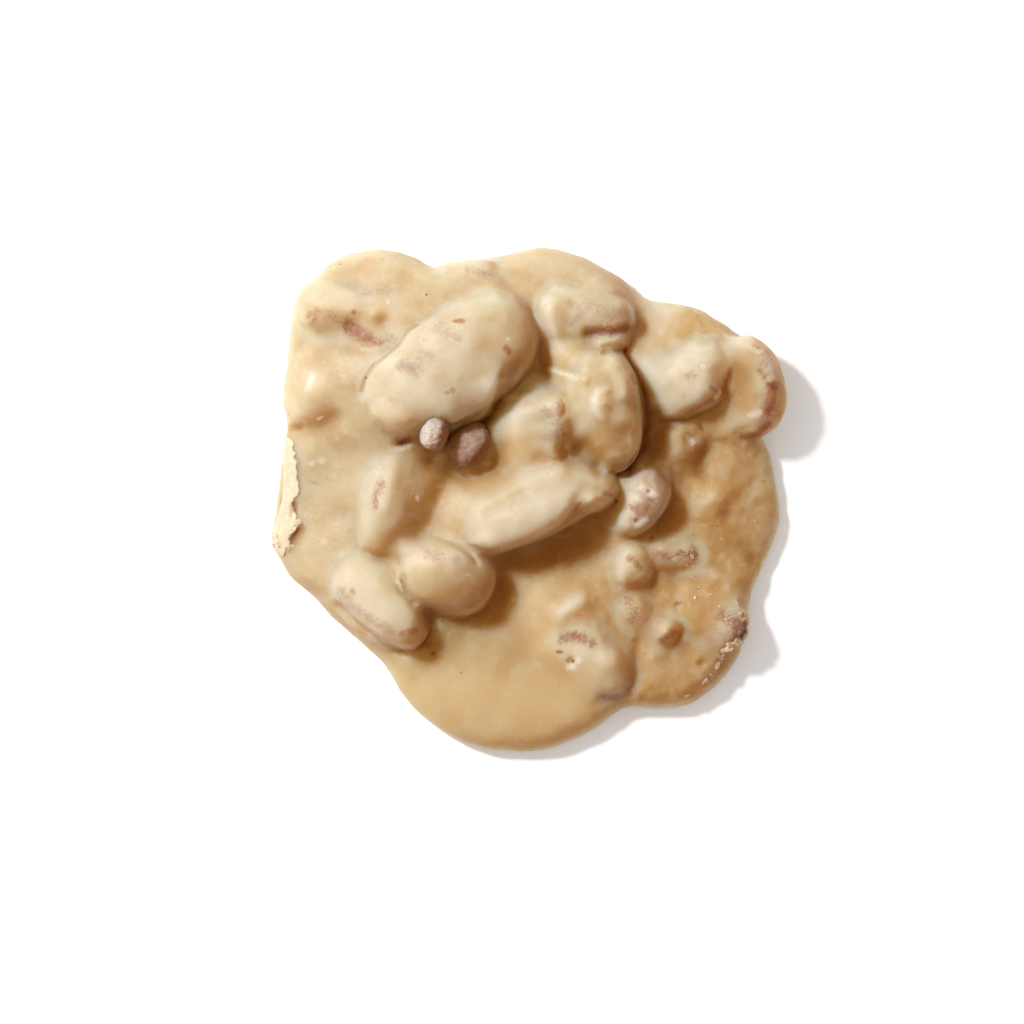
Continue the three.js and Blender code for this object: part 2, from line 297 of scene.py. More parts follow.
relax(skin, BANK_ROUNDS)
print(f"candy banked up by as much as {banked.max():.1f} mm")

# %% [markdown]
# Poured candy is never even. Two cloud textures push the skin in and out: a broad one makes each nut a
# little lopsided, and a finer one gives it slow ripples. The pool between the nuts levelled out while it
# was liquid, so there the skin is smoothed again, more the farther from the nuts.

# %% Unevenness and the level pool
POOL_STARTS = 1.2  # mm from the nearest nut
POOL_FULL = 4.0  # mm
POOL_ROUNDS = 60
LUMPS_START = 0.0  # mm, x where the pool begins to be lumpy with nut crumbs
LUMPS_FULL = 20.0  # mm


def roughen(piece, feature, height, vertex_group=""):
    """Pushes a surface in and out by this many millimetres, in lumps of this many millimetres."""
    texture = bpy.data.textures.new(f"Lumps of {feature} mm", "CLOUDS")
    texture.noise_scale = feature * MM
    texture.noise_depth = 1
    apply_modifier(
        piece, "DISPLACE", texture=texture, texture_coords="LOCAL", strength=2 * height * MM, mid_level=0.5,
        vertex_group=vertex_group,
    )


def gap_to_nuts(piece):
    """Distance from each vertex to the nearest nut, in millimetres."""
    farthest = 2 * POOL_FULL
    found = [nut_tree.find_nearest(vertex.co, farthest * MM)[3] for vertex in piece.data.vertices]
    return np.array([farthest if gap is None else gap / MM for gap in found])


roughen(skin, feature=7.0, height=0.45)
roughen(skin, feature=2.8, height=0.1)
nut_tree = BVHTree.FromPolygons(nut_points, nut_faces)
away = np.clip((gap_to_nuts(skin) - POOL_STARTS) / (POOL_FULL - POOL_STARTS), 0, 1)
weigh(skin, "pool", away * facing_up(skin))
relax(skin, POOL_ROUNDS, "pool")
rightward = np.clip((points_of(skin)[:, 0] - LUMPS_START) / (LUMPS_FULL - LUMPS_START), 0, 1)
weigh(skin, "lumpy", rightward * facing_up(skin))
roughen(skin, feature=2.2, height=0.26, vertex_group="lumpy")
print(f"skin made uneven, {np.mean(away > 0.5):.0%} of it level pool")

# %% [markdown]
# Where the candy flowed on from a nut it left a long even slope. These places are smoothed much more than
# the rest, each along a path of x, y points with its reach, in millimetres.

# %% Softened slopes
SOFT_ROUNDS = 140
SOFTENED = {
    "right of the west half": (3.4, [(-18.6, 6.0), (-17.6, 0.0), (-18.6, -5.4)]),
    "below the northwest half": (3.0, [(-34.0, 25.0), (-27.0, 24.0)]),
    "left of the centre half": (3.4, [(-10.6, 2.4), (-9.8, -4.6)]),
    "above the centre half": (2.4, [(-4.0, 7.0), (3.0, 7.6)]),
    "left of the plate": (2.6, [(-5.0, 11.0), (-2.4, 14.0)]),
    "left of the tall half": (3.0, [(8.8, 17.6), (8.6, 9.4)]),
    "plate": (2.4, [(-2.4, 12.2), (2.4, 13.4)]),
    "left of the north half": (2.2, [(4.6, 29.0), (6.8, 30.5)]),
    "left of the block": (3.0, [(20.8, 22.0), (21.4, 17.0)]),
    "between the block and the east half": (2.2, [(33.0, 24.0), (32.6, 15.0)]),
    "right of the south half": (2.6, [(16.6, -20.4), (19.4, -26.0)]),
    "left of the south half": (2.4, [(6.6, -26.6), (10.0, -31.0)]),
}


def distance_to_path(plan, path):
    """Distance in plan, in mm, from each point to a path of x, y corners: below zero on its right."""
    nearest = np.full(len(plan), np.inf)
    corners = [np.array(corner) for corner in path]
    for start, end in zip(corners, corners[1:] or corners):
        run = end - start
        offset = plan - start
        share = np.clip(offset @ run / (run @ run or 1), 0, 1)
        distance = np.linalg.norm(offset - share[:, None] * run, axis=1)
        on_right = run[0] * offset[:, 1] < run[1] * offset[:, 0]
        closer = distance < np.abs(nearest)
        nearest = np.where(closer, np.where(on_right, -distance, distance), nearest)
    return nearest


def dab(piece, rows):
    """The strongest of these marks at each vertex, by strength, reach and path in millimetres."""
    plan = points_of(piece)[:, :2]
    weight = np.zeros(len(plan))
    for strength, reach, path in rows:
        mark = strength * np.exp(-((distance_to_path(plan, path) / reach) ** 2))
        weight = np.maximum(weight, mark)
    return weight * facing_up(piece)


weigh(skin, "softened", dab(skin, [(1.0, reach, path) for reach, path in SOFTENED.values()]))
relax(skin, SOFT_ROUNDS, "softened")
print(f"{len(SOFTENED)} slopes softened")

# %% [markdown]
# The finer forms are pressed and raised along short strokes, as with a brush: a crease where the skin pulls
# away from a nut, the lip of a coat, a pit where a bubble burst. Each stroke has its height and its reach to
# the left and to the right of its path, in millimetres: a short reach on one side makes a step. Its path was
# read off the photograph, in pixels from the top left corner, and the camera's rays carry it onto the
# skin. The strokes are painted as weights in two vertex groups, one up and one down, and a Displace modifier
# moves each group.

# %% Strokes
STROKE_ROUNDS = 2
CROWN_CREASE = [(362, 392), (366, 378), (373, 366), (388, 354), (398, 345), (408, 331), (418, 325)]
STROKES = {
    "crease above the crown": (-1, 0.3, 0.3, CROWN_CREASE),
    "crown beside that crease": (0.45, 0.3, 1.6, CROWN_CREASE),
    "lip of the crown's coat": (1.7, 2.6, 0.2, [
        (449, 431), (457, 427), (468, 424), (477, 420), (486, 412), (492, 402), (495, 392),
    ]),
    "candy between the bare ends": (1.2, 1, 1, [(456, 431), (451, 444), (446, 456)]),
    "gap under that lip": (-2.2, 0.2, 0.8, [(462, 431), (470, 428), (481, 423), (491, 415), (497, 403)]),
    "hollow round the bare ends": (-1.2, 1.3, 1.3, [(434, 462), (466, 480), (494, 470), (502, 448)]),
    "slope right of the lip": (-0.5, 0.7, 1.3, [(496, 404), (500, 391), (510, 384), (516, 366)]),
    "ramp below the crown": (1, 2.3, 2.3, [(380, 415), (404, 425)]),
    "pit below the crown": (-1.4, 0.7, 0.7, [(399, 443), (406, 441)]),
    "left mound": (1, 3.6, 3.6, [(312, 385)]),
    "foot of the left mound": (-0.9, 1.6, 1.6, [(298, 428), (318, 428), (335, 420)]),
    "notch in the left edge": (-0.8, 0.5, 0.5, [(289, 429), (301, 428)]),
    "gap behind the crust": (-0.6, 0.4, 0.4, [(294, 505), (293, 517)]),
    "gap below the crust": (-0.7, 0.7, 0.7, [(300, 530), (294, 541)]),
    "northwest hump": (1.2, 2.3, 2.3, [(322, 304), (370, 308)]),
    "slope below that hump": (-0.4, 1.3, 1.3, [(325, 338), (365, 350), (395, 345)]),
    "hollow right of that hump": (-0.5, 1.3, 1.3, [(383, 322)]),
    "end of the top piece": (-0.5, 1.6, 1.3, [(504, 268), (505, 282)]),
    "ridge of the west half": (0.4, 1.5, 1.5, [(397, 452), (391, 478), (384, 508)]),
    "right shoulder of the west half": (0.5, 1.6, 1.6, [(412, 462), (409, 480), (406, 504), (400, 524)]),
    "valley right of the west half": (-2.1, 2.5, 2.1, [(454, 474), (440, 498), (430, 522), (421, 536)]),
    "foot of the west half": (-0.6, 0.8, 0.8, [(365, 553), (380, 559), (396, 559)]),
    "crease below the southwest half": (-1, 0.3, 1, [
        (341, 605), (352, 618), (368, 631), (386, 641), (402, 650),
    ]),
    "lower end of the southwest half": (-1.2, 1.3, 1.3, [(428, 622), (421, 642)]),
    "cap of the egg": (0.3, 2, 2, [(428, 555), (450, 560)]),
    "crease above the egg": (-0.45, 0.4, 0.4, [(432, 537), (452, 543), (466, 551), (477, 561)]),
    "groove left of the egg": (-0.6, 0.7, 0.7, [(404, 575), (406, 590), (414, 602)]),
    "fold left of the egg": (0.4, 0.5, 0.5, [(394, 563), (398, 580)]),
    "ramp left of the centre half": (0.6, 2.3, 2.3, [(474, 505), (470, 535)]),
    "hollow above the centre half": (-0.9, 2.1, 2.1, [(472, 482), (508, 472)]),
    "furrow of the centre half": (-0.3, 1.1, 1.1, [(488, 512), (505, 502), (522, 492)]),
    "drop to the tip of the centre half": (-0.4, 0.8, 1.3, [(566, 522), (573, 507), (580, 492)]),
    "lobe at the tip of the centre half": (1.2, 1.5, 1.5, [(594, 501), (606, 499)]),
    "lower edge of the centre half": (0.9, 2, 0.3, [
        (480, 546), (505, 550), (530, 542), (556, 526), (570, 512),
    ]),
    "ridge of the plate": (0.4, 0.8, 1.6, [(512, 418), (535, 408), (558, 398)]),
    "knob of the plate": (0.7, 1.1, 1.1, [(558, 405)]),
    "face of the plate": (1.8, 1.8, 1.8, [(510, 447), (530, 451), (549, 451)]),
    "middle of the plate": (0.7, 1.6, 1.6, [(515, 432), (548, 432)]),
    "right edge of the plate": (0.9, 0.8, 1.3, [(558, 402), (559, 430), (561, 452)]),
    "lower right corner of the plate": (0.8, 1.3, 1.3, [(555, 452)]),
    "candy right of the plate": (1, 1, 0.7, [(565, 420), (566, 436), (568, 448)]),
    "candy between the plate and the centre half": (1.3, 1.8, 1.8, [(518, 462), (536, 463), (560, 464)]),
    "candy between the plate and the tall half": (1, 1.5, 1.6, [(573, 386), (574, 408)]),
    "gap above the plate": (-0.5, 1.1, 1.1, [(520, 395), (550, 388)]),
    "knob of the tall half": (1.2, 1.5, 1.5, [(602, 404)]),
    "right ridge of the tall half": (0.9, 1.5, 1.5, [(612, 362), (623, 380), (625, 394)]),
    "rim of that knob": (0.7, 1, 0.4, [(607, 389), (598, 391), (592, 400), (593, 411), (600, 418)]),
    "hollow left of the tall half": (-2.2, 1.6, 1.6, [(585, 449), (596, 459)]),
    "south slope of the tall half": (-1, 2, 2, [(592, 436), (624, 438)]),
    "south end of the tall half": (-1.1, 2.1, 2.1, [(596, 456), (622, 456)]),
    "edge of the tall half": (0.4, 0.2, 1.5, [(618, 354), (631, 377), (639, 397), (641, 420), (638, 444)]),
    "gap right of the tall half": (-2.2, 0.8, 0.2, [
        (625, 354), (637, 374), (645, 395), (647, 420), (643, 446), (630, 463),
    ]),
    "lower gap right of the tall half": (-1, 1.5, 1, [(655, 415), (656, 435), (648, 458)]),
    "gap between the tall and the centre half": (-2.2, 1.3, 1.3, [(602, 468), (628, 470)]),
    "flow above the plate": (0.7, 0.5, 0.7, [(550, 368), (568, 375), (586, 379)]),
    "west lobe of the north half": (1, 1.6, 1.6, [(548, 308), (552, 333)]),
    "saddle from north to tall": (0.9, 2, 2, [(555, 352), (582, 360)]),
    "flat of the north half": (0.4, 2.3, 2.3, [(590, 312)]),
    "band of the north half": (-0.8, 0.7, 0.7, [(588, 334), (612, 332), (633, 328)]),
    "lip under that band": (0.9, 0.7, 0.7, [(600, 343), (616, 341), (627, 344)]),
    "gap under that small lip": (-1, 0.5, 0.5, [(605, 353), (622, 352), (630, 346)]),
    "waist of the north half": (-0.2, 1, 1, [(570, 304), (571, 322)]),
    "valley right of the crown": (-1.2, 1.5, 1.5, [(543, 345), (545, 368)]),
    "ramp left of the block": (0.5, 1.6, 1.6, [(648, 367), (662, 383)]),
    "far end of the block": (0.5, 1.6, 1.6, [(708, 365)]),
    "drop right of the block": (-1, 1.3, 0.3, [(727, 378), (722, 392), (702, 404), (680, 418), (668, 420)]),
    "fold left of the east half": (0.4, 1.5, 1.5, [(733, 352), (731, 390), (733, 425)]),
    "rim of the east half": (0.4, 0.7, 0.7, [(752, 343), (768, 356), (776, 378)]),
    "upper pit of the kidney": (-0.9, 0.5, 0.5, [(648, 491)]),
    "lower pit of the kidney": (-0.9, 0.6, 0.6, [(636, 520)]),
    "dimple below the block": (-0.6, 0.7, 0.7, [(690, 440)]),
    "right slope": (-0.3, 5.2, 5.2, [(760, 470), (757, 560)]),
    "hollow near the right edge": (-0.6, 1.3, 1.3, [(744, 548), (754, 560)]),
    "knoll of the right pool": (0.6, 1.5, 1.5, [(716, 497)]),
    "hollow below that knoll": (-0.4, 1.1, 1.1, [(728, 516)]),
    "knoll below the block": (0.6, 1.8, 1.8, [(680, 447)]),
    "hollow right of that knoll": (-1.3, 1.5, 1.5, [(707, 452), (703, 470)]),
    "slope right of that hollow": (-0.5, 1.5, 1.5, [(716, 474)]),
    "south bump": (0.8, 1.5, 1.5, [(563, 612), (582, 600)]),
    "hollow of the south half": (-0.4, 1.3, 1.3, [(578, 643)]),
    "pit of the south half": (-1, 0.6, 0.6, [(572, 662)]),
    "pale mound": (0.8, 2, 2, [(612, 660)]),
    "drop right of the pale mound": (-0.5, 1.5, 0.8, [(636, 645), (637, 675), (625, 692), (602, 699)]),
    "shelf right of the pale mound": (0.4, 1.5, 1.5, [(655, 655)]),
    "dimple near the right edge": (-0.6, 0.7, 0.7, [(702, 663)]),
}


def from_photo(path):
    """The places on the skin, as x, y in mm, that show at these pixels of the photograph."""
    places = []
    for right, down in path:
        share = Vector((right / PHOTO_SIZE - 0.5, 0.5 - down / PHOTO_SIZE, 0))
        on_table = VIEW_CENTRE + share * FRAME_WIDTH
        ray = (on_table - camera.location).normalized()
        met, place, *_ = skin.ray_cast(camera.location, ray)
        places.append(((place if met else on_table) / MM)[:2])
    return places


plan = points_of(skin)[:, :2]
upward = facing_up(skin)
raised = np.zeros(len(plan))
pressed = np.zeros(len(plan))
for height, left, right, path in STROKES.values():
    away = distance_to_path(plan, from_photo(path))
    bell = height * np.exp(-((away / np.where(away > 0, left, right)) ** 2)) * upward
    raised += np.maximum(bell, 0)
    pressed += np.minimum(bell, 0)
move_group(skin, "raised", raised)
move_group(skin, "pressed", pressed)
relax(skin, STROKE_ROUNDS)
print(f"{len(STROKES)} strokes, up to {raised.max():.1f} mm up and {-pressed.min():.1f} mm down")

# %% [markdown]
# The sweet set on a flat sheet, so the foot of the skin is flattened onto the table, and the many small
# faces of the underside give way to one.

# %% Flat underside
FOOT_HEIGHT = 0.3  # mm, all below it is pressed flat
edit_all(skin)
bpy.ops.mesh.select_mode(type="VERT")
bpy.ops.mesh.select_all(action="DESELECT")
bpy.ops.object.mode_set(mode="OBJECT")
low = points_of(skin)[:, 2] < FOOT_HEIGHT
skin.data.vertices.foreach_set("select", low)
bpy.ops.object.mode_set(mode="EDIT")
bpy.ops.transform.resize(value=(1, 1, 0), center_override=(0, 0, 0))
bpy.ops.mesh.select_mode(type="FACE")
bpy.ops.mesh.delete(type="FACE")
bpy.ops.mesh.select_mode(type="EDGE")
bpy.ops.mesh.select_non_manifold()
bpy.ops.mesh.edge_face_add()
bpy.ops.object.mode_set(mode="OBJECT")
select_only(skin)
bpy.ops.object.shade_smooth()
print(f"skin of {len(skin.data.polygons)} faces on a flat foot")

# %% [markdown]
# ## Bare nuts
# Under the lip of the crown's coat two broken ends of pecan stick out bare. They are the solids themselves,
# rounded off by subdivision, grown a little so that they close up against the candy, and wrinkled by two
# cloud textures.

# %% Bare ends of pecan
BARE_GROWTH = 0.65  # mm, closes the gap between the nut and the candy
bare_nuts = []
for name in BARE_NUTS:
    nut = copy_node(name)
    nut.name = name.replace("pecan", "bare")
    apply_modifier(nut, "SUBSURF", levels=3, render_levels=3)
    edit_all(nut)
    bpy.ops.transform.shrink_fatten(value=BARE_GROWTH * MM)
    bpy.ops.object.mode_set(mode="OBJECT")
    roughen(nut, feature=2.4, height=0.3)
    roughen(nut, feature=0.6, height=0.1)
    select_only(nut)
    bpy.ops.object.shade_smooth()
    bare_nuts.append(nut)
    print(f"{nut.name}: {len(nut.data.polygons)} faces")

# %% [markdown]
# ## The torn crust
# On the left edge a thin dry crust has lifted off the sheet and folded over the rim. A flat grid is laid
# between the line of the rim and the ragged inner line of the tear, wrapped onto the skin, roughened and
# given a thickness.

# %% Crust on the left edge
CRUST_RIM = [  # x, y in mm, from the top down
    (-39.3, 10.4), (-39.8, 6.6), (-39.8, 3.4), (-39.9, 0.1), (-40.6, -2.4), (-41.4, -4.8), (-42.2, -6.5),
    (-41.6, -7.8), (-40.1, -9.1),
]
CRUST_TEAR = [
    (-38.2, 9.9), (-37.7, 6.6), (-37.4, 3.4), (-37.2, 1.4), (-38.3, -0.4), (-37.8, -2.4), (-37.3, -3.5),
    (-37.8, -4.8), (-38.8, -6.2), (-38.6, -7.5), (-39.9, -9.1),
]
CRUST_LIFT = 0.14  # mm above the skin
CRUST_THICKNESS = 0.22  # mm
CRUST_DROP = 6.0  # mm, height from which the grid is lowered onto the skin
CRUST_ALONG = 90  # cells
CRUST_ACROSS = 10
FRET = 0.3  # mm, depth of the teeth of the tear
FRETS = 45
SEED = 11


def along_path(path, share):
    """The points of a path of x, y corners at these shares of its length."""
    corners = np.array(path)
    lengths = np.concatenate([[0], np.cumsum(np.linalg.norm(np.diff(corners, axis=0), axis=1))])
    return np.stack([np.interp(share * lengths[-1], lengths, corners[:, axis]) for axis in (0, 1)], axis=-1)


chance = np.random.default_rng(SEED)
bpy.ops.mesh.primitive_grid_add(x_subdivisions=CRUST_ALONG, y_subdivisions=CRUST_ACROSS, size=2)
crust = bpy.context.object
crust.name = "torn_crust"
square = points_of(crust) * MM
along, across = (square[:, :2].T + 1) / 2
inner = along_path(CRUST_TEAR, along)
inner[:, 0] += FRET * np.interp(along, np.linspace(0, 1, FRETS), chance.uniform(-1, 1, FRETS))
plan = along_path(CRUST_RIM, along) * (1 - across[:, None]) + inner * across[:, None]
laid = np.column_stack([plan, np.full(len(plan), CRUST_DROP)]) * MM
crust.data.vertices.foreach_set("co", laid.astype(np.float32).ravel())
crust.data.update()
apply_modifier(
    crust, "SHRINKWRAP", target=skin, wrap_method="PROJECT", use_project_z=True,
    use_positive_direction=False, use_negative_direction=True,
)
apply_modifier(crust, "SHRINKWRAP", target=skin, wrap_mode="ABOVE_SURFACE", offset=CRUST_LIFT * MM)
roughen(crust, feature=2.2, height=0.08)
roughen(crust, feature=0.6, height=0.05)
apply_modifier(crust, "SOLIDIFY", thickness=CRUST_THICKNESS * MM, offset=-1)
select_only(crust)
bpy.ops.object.shade_smooth()
print(f"crust of {len(crust.data.polygons)} faces")

# %% [markdown]
# ## Crumbs and sugar
# Loose plates of the crust lie along the tear, and pale and brown crumbs cling to the broken right edge.
# Here and there on the skin lie single grains of sugar. A crumb starts as a faceted ball that is pressed
# flat, pulled about at random and laid on the skin, and a grain as a cube. Those of a kind are joined into
# one mesh.

# %% Crumbs and sugar grains
CRUST_PLATES = [  # x, y and radius in mm
    (-37.9, -3.4, 0.9), (-38.4, -4.6, 1.0), (-37.6, -4.4, 0.6), (-38.9, -5.3, 0.8), (-39.0, -7.4, 0.7),
    (-39.9, -8.1, 0.8),
]
NUT_CRUMBS = [(35.0, -20.6, 1.3), (35.3, -21.6, 1.2), (34.8, -22.3, 0.9)]
CANDY_CRUMBS = [
    (34.6, -22.9, 1.2), (33.9, -23.8, 1.4), (33.3, -24.4, 1.0), (34.6, -24.1, 0.7), (32.7, -25.5, 1.0),
    (32.0, -26.6, 0.7), (31.5, -27.8, 0.7), (30.9, -29.2, 0.6), (30.4, -30.2, 0.7), (29.2, -30.6, 0.5),
    (35.5, -19.4, 0.8), (34.9, -18.4, 0.5), (26.9, -34.3, 0.4),
]
GRAIN_FIELDS = [  # how many, reach in mm, middle line of the field
    (34, 1.3, [(26.2, -7.8), (28.4, -10.6), (26.6, -13.4)]),
    (60, 1.2, [(34.4, -15.2), (34.0, -18.6), (31.5, -20.2)]),
    (30, 0.7, [(34.0, -24.0), (31.0, -29.0)]),
    (12, 3.0, [(30.0, -14.0), (26.0, -16.0)]),
    (8, 0.8, [(37.6, -3.6), (37.0, -4.0)]),
]
GRAIN_SIZE = (0.1, 0.28)  # mm
CRUMB_WIDTH = (0.55, 0.85)  # of the length
CRUMB_TILT = 0.5  # radians
FULL_TURN = 6.0  # radians, near enough
ABOVE_SKIN = 7.0  # mm, height from which the nearest place on the skin is sought


def on_skin(x, y):
    """The place on the skin nearest to a point above x, y."""
    return skin.closest_point_on_mesh(Vector((x, y, ABOVE_SKIN)) * MM)[1]


def join_as(name, pieces):
    select_only(*pieces)
    bpy.ops.object.join()
    joined = bpy.context.object
    joined.name = name
    bpy.ops.object.transform_apply(location=True, rotation=True, scale=True)
    return joined


def crumbs_at(name, rows, flatness, roughness):
    """Broken crumbs at these places on the skin, joined into one mesh: flatness is thickness over width."""
    crumbs = []
    for x, y, size in rows:
        tilt = chance.uniform(-CRUMB_TILT, CRUMB_TILT, 2)
        turn = (*tilt, chance.uniform(0, FULL_TURN))
        bpy.ops.mesh.primitive_ico_sphere_add(
            subdivisions=3, radius=size * MM, location=on_skin(x, y), rotation=turn
        )
        bpy.context.object.scale = (1, chance.uniform(*CRUMB_WIDTH), flatness)
        crumbs.append(bpy.context.object)
    joined = join_as(name, crumbs)
    roughen(joined, feature=1.1, height=roughness)
    roughen(joined, feature=0.4, height=0.3 * roughness)
    print(f"{name}: {len(rows)} crumbs, {len(joined.data.polygons)} faces")
    return joined


crust_plates = crumbs_at("crust_plates", CRUST_PLATES, flatness=0.14, roughness=0.16)
nut_crumbs = crumbs_at("nut_crumbs", NUT_CRUMBS, flatness=0.35, roughness=0.4)
candy_crumbs = crumbs_at("candy_crumbs", CANDY_CRUMBS, flatness=0.22, roughness=0.3)

grains = []
for count, reach, line in GRAIN_FIELDS:
    for share in chance.uniform(0, 1, count):
        x, y = along_path(line, share) + chance.normal(0, reach / 2, 2)
        size = chance.uniform(*GRAIN_SIZE) * MM
        turn = chance.uniform(0, FULL_TURN, 3)
        bpy.ops.mesh.primitive_cube_add(size=size, location=on_skin(x, y), rotation=turn)
        grains.append(bpy.context.object)
grains = join_as("sugar_grains", grains)
print(f"grains of {len(grains.data.polygons)} faces")

# %% [markdown]
# ## What the candy's colour depends on
# The skin is palest where it is a thin coat over a nut, and turns to a warm tan where it has pooled. So
# some values are measured at each vertex and kept with the mesh: how near a nut lies below, how low and
# thin the rim is, how far the place is hollow or stands out against a strongly smoothed copy of the skin,
# and how far it faces the lamp. The last ones carry painted shade and light: hollows and the sides turned
# from the lamp are painted darker, crests paler, and the sides towards the lamp toned down.
# The bare nuts also keep how dusty each is.

# %% Nut below and hollows
def store(piece, name, values):
    attribute = piece.data.attributes.new(name, "FLOAT", "POINT")
    attribute.data.foreach_set("value", np.clip(values, 0, 1).astype(np.float32))


COAT_FADE = 2.4  # mm of candy that hides the nut below
THIN_RIM = (2.0, 5.2)  # mm above the table: thinnest below the first height, full above the second
HOLLOW_DEPTH = 1.2  # mm
HOLLOW_ROUNDS = 150
to_nut = gap_to_nuts(skin)
store(skin, "over_nut", 1 - (to_nut - COAT) / COAT_FADE)
store(skin, "rim", (THIN_RIM[1] - points_of(skin)[:, 2]) / (THIN_RIM[1] - THIN_RIM[0]))

select_only(skin)
bpy.ops.object.duplicate()
smoothed = bpy.context.object
relax(smoothed, HOLLOW_ROUNDS)
rise = points_of(smoothed)[:, 2] - points_of(skin)[:, 2]
store(skin, "hollow", rise / HOLLOW_DEPTH)
store(skin, "crest", -rise / HOLLOW_DEPTH)
# painted light and shade: how far each vertex faces the lamp, which later darkens, pales or tones down its
# colour
for piece in (skin, *bare_nuts):
    normals = np.empty(len(piece.data.vertices) * 3, np.float32)
    piece.data.vertices.foreach_get("normal", normals)
    store(piece, "lamp_facing", normals.reshape(-1, 3) @ -np.array(LIGHT_TRAVEL))
for nut, dust in zip(bare_nuts, BARE_NUTS.values()):
    store(nut, "dusted", np.full(len(nut.data.vertices), dust))
select_only(smoothed)
bpy.ops.object.delete()
print(f"nut close below at {np.mean(to_nut < 1):.0%} of the skin")
